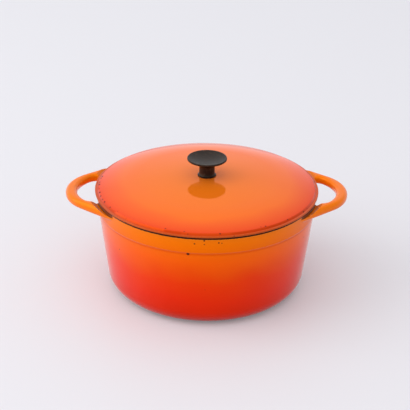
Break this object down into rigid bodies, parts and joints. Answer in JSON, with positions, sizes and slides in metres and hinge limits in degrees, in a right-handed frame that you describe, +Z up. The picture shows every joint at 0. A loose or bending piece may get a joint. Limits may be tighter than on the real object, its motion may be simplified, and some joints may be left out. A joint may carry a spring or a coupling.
{
  "type": "casserole",
  "caption": "Deep round lidded casserole of enamelled cast iron, with cast loop handles, a domed lid that lifts off and a dark dished knob screwed on from inside.",
  "frame": {"origin": "on the table, at the middle of the pot's base", "axes": "+Z up through the middle of the pot and the knob, X from handle to handle"},
  "size_m": [0.3086, 0.244, 0.148],
  "materials": {
    "pot_enamel": "gloss",
    "lid_enamel": "gloss",
    "knob_phenolic": "satin",
    "insert_brass": "satin",
    "screw_steel": "satin",
    "washer_steel": "satin"
  },
  "bodies": {
    "pot": {"pot": "pot_enamel"},
    "lid_carrier": {"knob_insert": "insert_brass"},
    "lid": {"lid": "lid_enamel", "knob": "knob_phenolic"},
    "washer": {"screw_washer": "washer_steel"},
    "screw": {"knob_screw": "screw_steel"}
  },
  "joints": [
    {"name": "lid_lift", "type": "slide", "parent": "pot", "child": "lid_carrier", "axis": [0, 0, 1], "range_m": [0, 0.15]},
    {"name": "lid_turn", "type": "hinge", "parent": "lid_carrier", "child": "lid", "pos_m": [0, 0, 0.1272], "axis": [0, 0, 1], "continuous": true},
    {"name": "screw_drop", "type": "slide", "parent": "lid", "child": "washer", "axis": [0, 0, -1], "range_m": [0, 0.008]},
    {"name": "screw_turn", "type": "hinge", "parent": "washer", "child": "screw", "pos_m": [0, 0, 0.1272], "axis": [0, 0, -1], "range_deg": [0, 3600]}
  ],
  "couplings": [
    {"joint": "screw_turn", "follows": "screw_drop", "rad_per_m": 7853.9}
  ]
}
